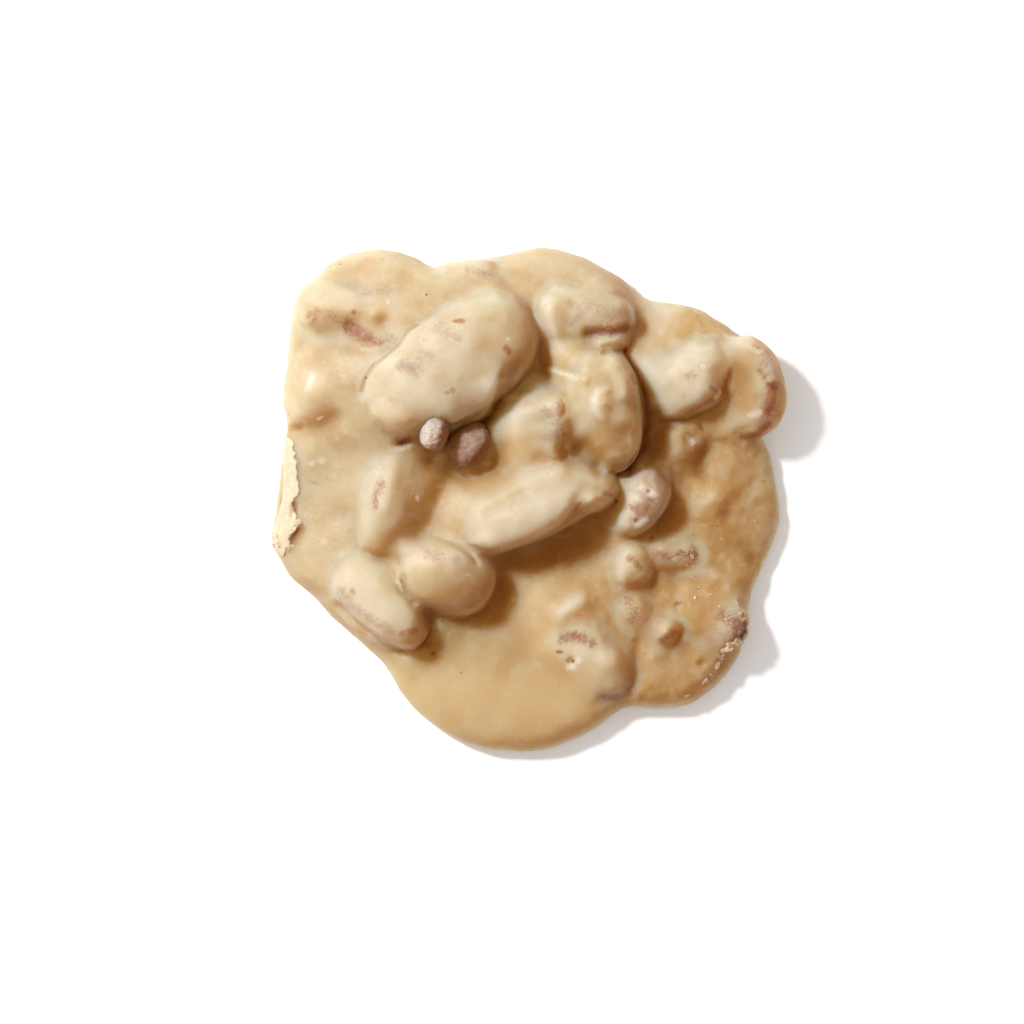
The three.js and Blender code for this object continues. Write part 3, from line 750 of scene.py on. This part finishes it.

# %% [markdown]
# No rule tells where one spoonful is creamier or browner, or where the skin wore through, so these places
# are dabbed on one by one like the strokes. Each mark has its strength, and its reach and its path in pixels
# of the photograph. Cream patches, two of them painted highlights, and amber patches, many of them painted
# shade, come first, then the pale run-out at the front, bare nut, a coat so thin that it looks grey, also
# used once as painted shade, and dry sugar with a few painted glints.

# %% Marks
MARKS = {
    # Mostly pale sugar, but the rim of the knob and the flow above the plate are painted highlights.
    "cream": [
        ("fold of the northwest half", 0.5, 11, [(330, 300), (365, 299)]),
        ("left mound", 0.6, 14, [(312, 380)]),
        ("upper slope of the crown", 0.6, 12, [(420, 342), (458, 330)]),
        ("middle of the crown", 0.6, 17, [(398, 384), (440, 394), (470, 396)]),
        ("lip of the crown", 0.95, 8, [(452, 418), (465, 414), (486, 400), (495, 384)]),
        ("ridge of the west half", 0.9, 8, [(397, 453), (389, 478), (382, 505)]),
        ("centre half", 0.9, 14, [(488, 538), (515, 526), (545, 507), (566, 486)]),
        ("upper slope of the centre half", 0.5, 12, [(520, 475), (548, 468)]),
        ("ramp left of the centre half", 0.4, 11, [(447, 512), (458, 496)]),
        ("west lobe of the north half", 0.7, 8, [(549, 306), (552, 328), (556, 345)]),
        ("rim of the knob", 1, 5, [(599, 391), (593, 399), (594, 411), (601, 417)]),
        ("knob", 0.4, 6, [(606, 398)]),
        ("flow above the plate", 0.9, 3, [(552, 370), (575, 378)]),
        ("ridge of the plate", 0.7, 7, [(516, 418), (556, 402)]),
        ("knob of the plate", 0.95, 8, [(556, 405)]),
        ("face of the plate", 0.6, 11, [(518, 432), (546, 440)]),
        ("block", 0.7, 11, [(648, 366), (672, 374), (698, 352)]),
        ("block", 0.7, 11, [(668, 402), (690, 385)]),
        ("lower edge of the block", 0.7, 4, [(671, 412), (692, 398), (712, 386)]),
        ("east half", 0.6, 6, [(738, 342), (758, 347), (772, 362)]),
        ("kidney", 0.6, 8, [(645, 480), (640, 500), (622, 526)]),
        ("cap of the egg", 0.8, 8, [(424, 553), (440, 558), (458, 561)]),
        ("southwest half", 0.6, 13, [(346, 574), (366, 586), (386, 606)]),
        ("cube", 0.7, 4, [(622, 586), (620, 562), (628, 549)]),
        ("cube", 0.6, 8, [(632, 566)]),
        ("south bump", 0.9, 8, [(577, 601), (560, 615)]),
        ("pale mound", 0.3, 10, [(606, 662), (620, 680)]),
        ("knolls", 0.3, 9, [(680, 448)]),
        ("knolls", 0.3, 9, [(716, 497)]),
        ("top piece", 0.4, 9, [(455, 276), (485, 272)]),
        ("pool right of the north half", 0.7, 15, [(648, 306), (664, 314)]),
        ("pool of the right lobe", 0.3, 14, [(560, 262), (600, 276)]),
    ],
    # Partly painted shade: the hollows, gaps, feet and the places below and beside the halves are painted as
    # shadows.
    "amber": [
        ("right end of the crown", 0.5, 15, [(488, 342), (515, 330), (522, 352)]),
        ("lower end of the crown", 0.35, 10, [(395, 420), (415, 408)]),
        ("tall half", 0.15, 12, [(612, 380)]),
        ("tall half", 0.7, 14, [(600, 440), (622, 436)]),
        ("hollow left of the tall half", 0.8, 11, [(572, 438), (590, 448)]),
        ("slope of the east half", 1, 13, [(740, 370), (742, 404)]),
        ("egg", 0.6, 11, [(420, 588), (455, 594), (482, 590)]),
        ("foot of the west half", 0.6, 8, [(372, 545), (392, 546)]),
        ("slope right of the west half", 0.9, 14, [(432, 462), (432, 500), (418, 528)]),
        ("foot of the left mound", 0.6, 11, [(305, 425), (330, 428)]),
        ("hollow of the northwest half", 0.5, 8, [(375, 322), (384, 318)]),
        ("below the plate", 0.3, 10, [(490, 450), (505, 462)]),
        ("lobe at the tip of the centre half", 0.45, 8, [(584, 486), (603, 488)]),
        ("round the bare ends", 1, 11, [(424, 456), (440, 468), (470, 482), (496, 472), (505, 446)]),
        ("hollow above the centre half", 0.7, 12, [(475, 485), (508, 476)]),
        ("below the centre half", 0.8, 13, [(505, 562), (540, 560), (575, 540)]),
        ("below the egg", 0.7, 11, [(435, 612), (480, 608), (500, 590)]),
        ("pool right of the block", 0.4, 12, [(690, 425), (660, 440)]),
        ("right pool", 0.6, 16, [(705, 460), (735, 500), (720, 540)]),
        ("right edge", 0.6, 10, [(745, 545), (755, 565)]),
        ("mound of the south half", 0.4, 9, [(622, 665)]),
        ("candy round the small pieces", 0.5, 32, [(645, 562), (652, 625)]),
        ("candy round the chip", 0.6, 14, [(712, 628), (715, 650)]),
        ("right side of the kidney", 0.8, 5, [(662, 478), (666, 500)]),
        ("gap behind the crust", 1, 4, [(294, 505), (293, 517)]),
        ("gap below the crust", 1, 6, [(300, 530), (294, 541)]),
        ("notch in the left edge", 0.9, 4, [(292, 429), (301, 428)]),
    ],
    "pale_pool": [
        ("south pool", 0.9, 30, [(440, 690), (500, 705), (570, 695)]),
        ("pool above the south half", 0.5, 20, [(530, 600), (545, 640)]),
    ],
    "nut_shows": [
        ("streak on the northwest half", 1, 8.5, [(348, 326), (358, 332), (368, 338)]),
        ("tail of that streak", 0.5, 6, [(364, 338), (378, 343)]),
        ("head of that streak", 0.3, 9, [(330, 316), (342, 321)]),
        ("patch left of it", 0.45, 5, [(308, 316), (317, 311), (313, 323)]),
        ("spot above it", 0.9, 2.6, [(354, 312)]),
        ("crown", 0.9, 2.4, [(455, 321), (463, 321)]),
        ("crown", 1, 3.4, [(506, 348), (509, 352)]),
        ("crown", 0.5, 4, [(446, 392), (452, 391)]),
        ("crown", 0.9, 1.8, [(366, 378)]),
        ("pit below the crown", 0.85, 5, [(401, 443), (408, 440)]),
        ("beside that pit", 0.35, 4, [(382, 433)]),
        ("band of the north half", 0.85, 6.5, [(590, 333), (602, 331), (614, 331), (628, 329)]),
        ("end of the north half", 0.35, 6, [(628, 312), (632, 322)]),
        ("gap of the north half", 0.8, 2.4, [(625, 350)]),
        ("edge of the tall half", 0.85, 3.2, [(632, 377), (635, 383)]),
        ("knob of the tall half", 0.45, 3, [(606, 405), (610, 409)]),
        ("plate", 0.3, 3, [(562, 398), (564, 408)]),
        ("plate", 0.4, 2.6, [(562, 427), (563, 434), (566, 444)]),
        ("plate", 0.95, 2, [(564, 434)]),
        ("tip of the centre half", 0.75, 3.2, [(604, 493), (612, 496)]),
        ("tip of the centre half", 1, 2.4, [(616, 501)]),
        ("below the block", 0.9, 2.4, [(699, 425), (702, 429)]),
        ("block", 0.6, 3.4, [(711, 387), (717, 392)]),
        ("east half", 0.5, 3.5, [(755, 345), (766, 351)]),
        ("east half", 0.6, 3.5, [(759, 371), (765, 377)]),
        ("east half", 1, 3.4, [(769, 384), (776, 388)]),
        ("east half", 1, 5, [(773, 384), (772, 398), (769, 413)]),
        ("east half", 0.85, 4.5, [(743, 437), (757, 435), (768, 424)]),
        ("kidney", 0.6, 6, [(632, 508), (645, 511), (652, 500)]),
        ("kidney", 1, 2.2, [(648, 491)]),
        ("kidney", 1, 2.8, [(636, 520)]),
        ("below the kidney", 0.95, 2.4, [(652, 537)]),
        ("cube", 0.6, 5, [(630, 558), (640, 568)]),
        ("sliver", 0.65, 5, [(655, 552), (668, 558), (680, 553), (694, 554)]),
        ("south crumb", 0.65, 6.5, [(627, 600), (636, 612), (632, 620)]),
        ("east crumb", 0.9, 4.5, [(662, 640), (672, 633)]),
        ("south half", 0.75, 6.5, [(563, 639), (576, 635), (592, 643)]),
        ("south half", 0.95, 2.2, [(558, 652), (561, 652)]),
        ("pit of the south half", 1, 2.2, [(573, 661)]),
        ("lower end of the south half", 0.35, 6, [(605, 699), (622, 694)]),
        ("red speck", 1, 2.8, [(676, 604), (679, 603)]),
        ("round the chip", 0.7, 8, [(722, 617), (736, 622), (738, 636)]),
        ("right edge", 0.35, 6, [(742, 547), (752, 556)]),
        ("right edge", 0.55, 2.6, [(764, 482)]),
        ("southwest half", 0.55, 2.8, [(352, 590), (354, 593)]),
        ("southwest half", 0.6, 4.5, [(402, 634), (415, 630)]),
        ("west half", 0.5, 3.4, [(375, 506), (378, 490), (384, 483)]),
        ("below the southwest half", 0.85, 2.6, [(433, 653)]),
        ("left pool", 0.4, 3.2, [(310, 482), (317, 483)]),
        ("top lobe", 0.25, 6, [(383, 259), (396, 257)]),
        ("dimple", 0.5, 3.5, [(702, 663)]),
    ],
    "thin_coat": [
        ("northwest half", 0.45, 6, [(365, 292), (386, 292)]),
        ("northwest half", 0.5, 7, [(375, 342), (392, 340)]),
        ("crown", 0.55, 8, [(404, 366), (416, 371)]),
        ("crown", 0.4, 8, [(420, 354), (436, 362)]),
        ("crown", 0.45, 8, [(438, 327), (455, 338)]),
        ("crown", 0.45, 7, [(505, 386), (515, 371)]),
        ("top piece", 0.5, 5, [(468, 271), (495, 276)]),
        ("north half", 0.45, 5, [(570, 302), (582, 311), (572, 326)]),
        ("north half", 0.45, 11, [(590, 306), (618, 316)]),
        ("north half", 0.35, 6, [(560, 285), (580, 285)]),
        ("block", 0.4, 8, [(690, 375), (705, 364), (716, 380)]),
        ("block", 0.35, 6, [(680, 395)]),
        ("east half", 0.65, 8, [(764, 356), (778, 380), (771, 400), (764, 418)]),
        ("plate", 0.4, 9, [(545, 412), (555, 422), (552, 440)]),
        ("knob of the plate", 0.45, 6, [(558, 405)]),
        ("centre half", 0.5, 5, [(473, 546), (510, 551), (540, 542), (560, 531)]),
        ("kidney", 0.75, 11, [(642, 478), (652, 500), (640, 512)]),
        # painted shade: the kidney's shaded side is darkened with the grey of a thin coat
        ("shaded side of the kidney", 1, 6, [(658, 478), (662, 500), (652, 520)]),
        ("west half", 0.5, 6, [(381, 480), (375, 506)]),
        ("southwest half", 0.6, 6, [(340, 590), (352, 607), (370, 620), (391, 632)]),
        ("egg", 0.55, 9, [(429, 553), (441, 560)]),
        ("egg", 0.5, 6, [(457, 560)]),
        ("cube and sliver", 0.35, 10, [(635, 562), (680, 556)]),
        ("crumbs", 0.3, 10, [(632, 612), (665, 632)]),
        ("right edge", 0.55, 10, [(718, 640), (735, 632)]),
        ("right edge", 0.3, 8, [(750, 545)]),
        ("south mound", 0.6, 6, [(600, 698), (615, 697), (633, 687)]),
    ],
    # Besides sugar, some are painted glints: the glint, the bright spots on the left mound and the west
    # half, beside and above the egg, and on the flow above the plate.
    "sugar": [
        ("glint", 0.9, 2.6, [(388, 302)]),
        ("left mound", 0.8, 4, [(312, 377), (308, 388)]),
        ("left mound", 0.5, 6, [(345, 376), (352, 372)]),
        ("left mound", 0.9, 1.8, [(318, 419), (322, 417)]),
        ("left pool", 0.6, 4.5, [(312, 463), (325, 460)]),
        ("left pool", 0.5, 6, [(323, 543)]),
        ("left pool", 0.45, 5, [(307, 515)]),
        ("left pool", 0.45, 6, [(368, 637)]),
        ("west half", 1, 1.8, [(417, 497), (418, 500)]),
        ("west half", 0.6, 2.4, [(380, 467)]),
        ("between the southwest half and the egg", 0.9, 2.4, [(398, 581), (402, 590)]),
        ("above the egg", 0.7, 2.2, [(474, 554), (480, 566)]),
        ("egg", 0.5, 3, [(468, 576)]),
        ("crown", 0.5, 3, [(508, 339)]),
        ("kidney", 1, 4.6, [(643, 488), (653, 494)]),
        ("kidney", 1, 3.4, [(632, 513), (637, 526), (646, 520)]),
        ("east half", 1, 4.4, [(751, 416), (759, 413)]),
        ("block", 1, 2.8, [(719, 392), (716, 398)]),
        ("dimple", 1, 3.4, [(688, 438), (692, 442)]),
        ("south half", 0.9, 5, [(569, 666), (577, 660)]),
        ("pool", 0.7, 3, [(513, 599)]),
        ("flow above the plate", 0.6, 2, [(552, 371), (565, 374), (578, 379)]),
    ],
}


for name, rows in MARKS.items():
    marks = [(strength, reach * PIXEL, from_photo(path)) for _, strength, reach, path in rows]
    store(skin, name, dab(skin, marks))
    print(f"{name}: {len(rows)} marks")

# %% [markdown]
# ## Materials
# Brown-sugar candy that has set dull: fine sugar crystals in a clear brown syrup. Light enters, wanders
# some millimetres and comes out warmer, red farthest, so that shadows are soft and glow orange at their
# borders. The colour is laid on in coats, from the widest to the smallest: tan pool and paler coat over the
# nuts, paler towards the lamp's side as painted light, painted shade in hollows and on the sides turned
# from the lamp, a paler rim, partly painted light, the sides that face the lamp toned down, painted light on
# crests, a mottle, the painted zones, the worn places where a nut shows, and specks of nut meal.

# %% Candy material
POOL = linear("#D8B981")  # candy some millimetres deep
PALE_POOL = linear("#EFD8A8")  # the even run-out at the front
OVER_NUT = linear("#D8D2B4")  # a coat over a nut
THIN_AND_SHADE = linear("#B8A091")  # a coat so thin that the dark nut greys it, also painted shade on the kidney's shaded side
RIM = linear("#DFCBA3")  # the thin edge of the pool: paler for its thin candy, and painted light on its down-turned roll
SHADE_BROWN = linear("#BF904F")  # painted shade in hollows and on sides turned away from the lamp
AMBER_AND_SHADE = linear("#C0924A")  # amber patches rich in syrup, and painted shade in hollows, gaps and below the nuts
CREAM_AND_HIGHLIGHT = linear("#E6DFCB")  # pale cream of fine sugar, and painted light on crests and highlights
POOL_TOWARD_LAMP = linear("#BEA27A")  # painted light: pool on sides that face the lamp, toned down
COAT_TOWARD_LAMP = linear("#C4BEB0")  # painted light: coats on sides that face the lamp, toned down and greyed
SUGAR_AND_GLINT = linear("#F5EDDF")  # dry sugar, and painted glints of light
NUT = linear("#884E34")  # the nut itself
NUT_ROSY = linear("#BE8A64")
SCATTER = (9.5, 7.2, 5.0)  # mm, how far red, green and blue wander
# painted light: the candy is painted paler across the sweet towards the lamp's side
PALER_SIDE = (-0.9, 0.45, 0)  # the way across the sweet in which the candy turns paler
HALF_WIDTH = 45 * MM
FLECK_GAP = 2.8  # mm between specks of nut meal
FLECK_SHARE = 0.16  # of the places that have one
FRAY = 0.3  # how far the grain breaks up the border of a worn place
FRAY_SHIFT = 0.2  # sets that border back again
# A Map Range node takes a value as input 0, its range as 1 and 2 and the new range as 3 and 4.
RANGE = "ShaderNodeMapRange"
# A Mix node takes the share as input 0 and the two colours as 6 and 7.
MIX = "ShaderNodeMix"
smooth = {"interpolation_type": "SMOOTHSTEP"}
colours = {"data_type": "RGBA"}


def new_material(name):
    material = bpy.data.materials.new(name)
    material.use_nodes = True
    return material, material.node_tree.nodes["Principled BSDF"]


def clouds(material, size, detail):
    """Cloudy noise with features of this many millimetres, spread evenly from 0 to 1."""
    place = add(material, "ShaderNodeTexCoord", {}, output="Object")
    fog = add(material, "ShaderNodeTexNoise", {"Vector": place, "Scale": per_mm(size), "Detail": detail})
    return add(material, RANGE, {0: fog, 1: 0.3, 2: 0.7}, **smooth)


def coat(material, below, weight, strength, colour):
    """Lays a colour over the one below, by a weight from 0 to 1 and a full strength."""
    cover = add(material, "ShaderNodeMath", {0: weight, 1: strength}, operation="MULTIPLY")
    return add(material, MIX, {0: cover, 6: below, 7: colour}, **colours)


# Set sugar candy: creamy and waxy, with light that glows through it
candy, shader = new_material("Set brown-sugar candy")
broad = clouds(candy, 6.0, 2.0)
mottle = clouds(candy, 4.2, 3.0)
clots = clouds(candy, 1.6, 3.0)
grain = clouds(candy, 0.5, 3.0)
ragged = add(candy, "ShaderNodeMath", {0: grain, 1: clots}, operation="ADD")
painted = {
    name: add(candy, "ShaderNodeAttribute", {}, output="Fac", attribute_name=name)
    for name in ("over_nut", "hollow", "crest", "rim", "lamp_facing", *MARKS)
}

place = add(candy, "ShaderNodeTexCoord", {}, output="Object")
across = add(candy, "ShaderNodeVectorMath", {0: place, 1: PALER_SIDE}, operation="DOT_PRODUCT")
# painted light: paler towards the lamp's side of the sweet
paler_toward_lamp = add(candy, RANGE, {0: across, 1: -HALF_WIDTH, 2: HALF_WIDTH, 4: 0.7}, **smooth)
shifted = add(candy, "ShaderNodeMath", {0: broad, 1: 0.5, 2: painted["over_nut"]}, operation="MULTIPLY_ADD")
nut_near = add(candy, RANGE, {0: shifted, 1: 0.35, 2: 1.15}, **smooth)
paleness = add(candy, "ShaderNodeMath", {0: nut_near, 1: paler_toward_lamp}, operation="MAXIMUM")
turned_away = add(candy, RANGE, {0: painted["lamp_facing"], 1: 0.25, 2: 0.72, 3: 1.0, 4: 0.0}, **smooth)
in_pool = add(candy, RANGE, {0: nut_near, 3: 1.0, 4: 0.25})
facing = add(candy, RANGE, {0: painted["lamp_facing"], 1: 0.8, 2: 0.97}, **smooth)
pool_facing = add(candy, "ShaderNodeMath", {0: facing, 1: in_pool}, operation="MULTIPLY")
nut_facing = add(candy, "ShaderNodeMath", {0: facing, 1: nut_near}, operation="MULTIPLY")
mottle_pale = add(candy, RANGE, {0: mottle, 1: 0.5, 2: 1.0}, **smooth)
mottle_deep = add(candy, RANGE, {0: mottle, 1: 0.5, 2: 0.0}, **smooth)

colour = add(candy, MIX, {0: paleness, 6: POOL, 7: OVER_NUT}, **colours)
for weight, strength, tint in (
    # painted shade: hollows and the sides turned from the lamp are darkened
    (painted["hollow"], 0.45, SHADE_BROWN),
    (turned_away, 0.7, SHADE_BROWN),
    # the low rim is paler for its thinner candy, and partly painted light that lifts its shaded roll
    (painted["rim"], 0.85, RIM),
    # painted light: the sides that face the lamp are toned down
    (pool_facing, 0.45, POOL_TOWARD_LAMP),
    (nut_facing, 0.3, COAT_TOWARD_LAMP),
    (mottle_deep, 0.2, AMBER_AND_SHADE),
    (mottle_pale, 0.3, CREAM_AND_HIGHLIGHT),
    # painted light: crests that stand out of the skin are painted paler
    (painted["crest"], 0.25, CREAM_AND_HIGHLIGHT),
    # amber patches, many of them painted shade
    (painted["amber"], 0.75, AMBER_AND_SHADE),
    # cream patches, a few of them painted highlights
    (painted["cream"], 0.75, CREAM_AND_HIGHLIGHT),
    (painted["pale_pool"], 0.8, PALE_POOL),
):
    colour = coat(candy, colour, weight, strength, tint)

# The worn places have borders broken up by the grain, and the nut's own skin is partly rosy.
nut_skin = add(candy, MIX, {0: clots, 6: NUT, 7: NUT_ROSY}, **colours)
for name, start, full, strength, tint in (
    ("thin_coat", 0.1, 1.0, 0.8, THIN_AND_SHADE),
    # dry sugar, with a few painted glints
    ("sugar", 0.25, 1.0, 0.85, SUGAR_AND_GLINT),
    ("nut_shows", 0.15, 1.15, 1.0, nut_skin),
):
    frayed = add(candy, "ShaderNodeMath", {0: ragged, 1: FRAY, 2: painted[name]}, operation="MULTIPLY_ADD")
    worn = add(candy, RANGE, {0: frayed, 1: start + FRAY_SHIFT, 2: full + FRAY_SHIFT}, **smooth)
    inside = add(candy, RANGE, {0: painted[name], 1: 0.02, 2: 0.3}, **smooth)
    weight = add(candy, "ShaderNodeMath", {0: worn, 1: inside}, operation="MULTIPLY")
    colour = coat(candy, colour, weight, strength, tint)

# Pale clots of sugar 1 mm across lie in the pool between the nuts.
clotted = add(candy, RANGE, {0: clots, 1: 0.8, 2: 1.0}, **smooth)
weight = add(candy, "ShaderNodeMath", {0: clotted, 1: in_pool}, operation="MULTIPLY")
colour = coat(candy, colour, weight, 0.25, CREAM_AND_HIGHLIGHT)

# Brown specks of nut meal 0.3 mm across sit in a few of a pattern's cells.
cells = add(candy, "ShaderNodeTexVoronoi", {"Vector": place, "Scale": per_mm(FLECK_GAP)})
lot = add(candy, "ShaderNodeSeparateColor", {0: cells.node.outputs["Color"]})
chosen = add(candy, "ShaderNodeMath", {0: lot, 1: FLECK_SHARE}, operation="LESS_THAN")
spot = add(candy, RANGE, {0: cells, 1: 0.11, 2: 0.045}, **smooth)
weight = add(candy, "ShaderNodeMath", {0: spot, 1: chosen}, operation="MULTIPLY")
weight = add(candy, "ShaderNodeMath", {0: weight, 1: in_pool}, operation="MULTIPLY")
colour = coat(candy, colour, weight, 0.8, NUT)

height = add(candy, "ShaderNodeMath", {0: clots, 1: 0.4, 2: grain}, operation="MULTIPLY_ADD")
bump = add(candy, "ShaderNodeBump", {"Height": height, "Strength": 0.5, "Distance": 0.05 * MM})
connect(candy, shader, {
    "Base Color": colour,
    "Roughness": add(candy, RANGE, {0: clots, 3: 0.46, 4: 0.62}),
    "Specular IOR Level": 0.5,
    "Subsurface Weight": 1.0,
    "Subsurface Scale": MM,
    "Subsurface Radius": SCATTER,
    "Normal": bump,
})
skin.data.materials.clear()
skin.data.materials.append(candy)
print(f"candy: {len(candy.node_tree.nodes)} nodes")

# %% [markdown]
# A bare pecan kernel has a dull mauve-brown skin. Sugar dust clings to its fine lengthwise wrinkles, mostly
# on the side that faces the lamp, where the pale dust is also painted light, and the side turned away is
# left dark brown as painted shade.

# %% Bare kernel material
KERNEL = linear("#875733")
KERNEL_DUST = linear("#F4E8DC")
FIBRE_HEADING = 50  # degrees
# The kernel's own dry skin: brown, with a pale fuzz of sugar in its wrinkles
kernel, kernel_shader = new_material("Bare pecan kernel")
place = add(kernel, "ShaderNodeTexCoord", {}, output="Object")
lengthwise = {"Vector": place, "Rotation": (0, 0, math.radians(FIBRE_HEADING)), "Scale": (1, 1.7, 1)}
stretched = add(kernel, "ShaderNodeMapping", lengthwise)
fibres = add(kernel, "ShaderNodeTexNoise", {"Vector": stretched, "Scale": per_mm(0.6), "Detail": 4.0})
lit_side = add(kernel, "ShaderNodeAttribute", {}, output="Fac", attribute_name="lamp_facing")
dusted = add(kernel, "ShaderNodeAttribute", {}, output="Fac", attribute_name="dusted")
# painted light and shade: more pale dust on the side that faces the lamp, darker brown on the side away from
# it
dust_toward_lamp = add(kernel, RANGE, {0: lit_side, 1: 0.0, 2: 0.7, 3: 0.2, 4: 1.0}, **smooth)
streaks = add(kernel, RANGE, {0: fibres, 1: 0.3, 2: 0.66, 3: 0.65}, **smooth)
fuzz = add(kernel, "ShaderNodeMath", {0: streaks, 1: dust_toward_lamp}, operation="MULTIPLY")
dust = add(kernel, "ShaderNodeMath", {0: fuzz, 1: dusted}, operation="MULTIPLY")
wrinkles = add(kernel, "ShaderNodeBump", {"Height": fibres, "Strength": 0.5, "Distance": 0.12 * MM})
connect(kernel, kernel_shader, {
    "Base Color": add(kernel, MIX, {0: dust, 6: KERNEL, 7: KERNEL_DUST}, **colours),
    "Roughness": 0.65,
    "Subsurface Weight": 0.8,
    "Subsurface Scale": MM,
    "Subsurface Radius": (6.0, 4.0, 2.6),
    "Normal": wrinkles,
})
for nut in bare_nuts:
    nut.data.materials.clear()
    nut.data.materials.append(kernel)
print(f"kernel: {len(kernel.node_tree.nodes)} nodes")

# %% [markdown]
# The dry crust is the same candy without its syrup, pale and chalky, and the crumbs are bits of candy and
# of nut. All three are dry mixtures of two colours, so one function makes them. The grains are sugar
# crystals that look white.

# %% Crust, crumb and crystal materials
def speckled(name, size, detail, dark, pale, roughness):
    """A dry material of two hex colours, mixed in flecks of this many millimetres."""
    material, material_shader = new_material(name)
    flecks = clouds(material, size, detail)
    connect(material, material_shader, {
        "Base Color": add(material, MIX, {0: flecks, 6: linear(dark), 7: linear(pale)}, **colours),
        "Roughness": roughness,
    })
    return material


# Candy dried to a crust: chalky cream, a little yellow where it is thicker
dry = speckled("Dry sugar crust", 0.9, 3.0, "#E8D8B4", "#F2E6CE", roughness=0.6)
for piece in (crust, crust_plates):
    piece.data.materials.append(dry)

# Crumbs of candy: greyish tan, with paler broken faces
stale = speckled("Dry candy crumb", 0.7, 3.0, "#A5896A", "#E2D2B6", roughness=0.6)
candy_crumbs.data.materials.append(stale)

# Crumbs of nut: dark skin and paler broken flesh
shard = speckled("Broken pecan", 0.8, 2.0, "#5A3828", "#A07C66", roughness=0.55)
nut_crumbs.data.materials.append(shard)

# Loose sugar: clear crystals, so small that they only glint white
crystal, crystal_shader = new_material("Sugar crystals")
connect(crystal, crystal_shader, {
    "Base Color": linear("#F6F0E4"), "Roughness": 0.25, "Transmission Weight": 0.3,
})
grains.data.materials.append(crystal)
print("materials: " + ", ".join(material.name for material in (dry, stale, shard, crystal)))

# %% [markdown]
# The table is a lit white sheet, which keeps the shadow on it light. Its own light is a little bluish and
# takes the warmth of the surround out of the shadow, and it fades close to the sweet, where the rim
# overhangs it.

# %% Table material
SHADE_REACH = 9.0  # mm
GLOW = 0.585
GLOW_COLOUR = (0.75, 0.9, 1, 1)
# White paper with a faint light of its own: it stays white and its shadows stay pale
paper, paper_shader = new_material("Lit white table")
openness = add(paper, "ShaderNodeAmbientOcclusion", {"Distance": SHADE_REACH * MM}, output="AO", samples=8)
connect(paper, paper_shader, {
    "Base Color": linear("#F2F2F2"),
    "Roughness": 0.8,
    "Emission Color": GLOW_COLOUR,
    "Emission Strength": add(paper, "ShaderNodeMath", {0: openness, 1: GLOW}, operation="MULTIPLY"),
})
table.data.materials.append(paper)
print("table: " + paper.name)

# %% [markdown]
# ## On the frame
# Food has no moving parts, so every piece rides on the one body. The skin takes the place of the pool and
# of all coated nuts, and each bare end that of its own solid.

# %% Pieces on the frame
for piece in (skin, crust, crust_plates, candy_crumbs, nut_crumbs, grains, *bare_nuts):
    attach(piece, "root")
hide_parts(*[name for name in nodes if name not in BARE_NUTS])
for nut, name in zip(bare_nuts, BARE_NUTS):
    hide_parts(name)
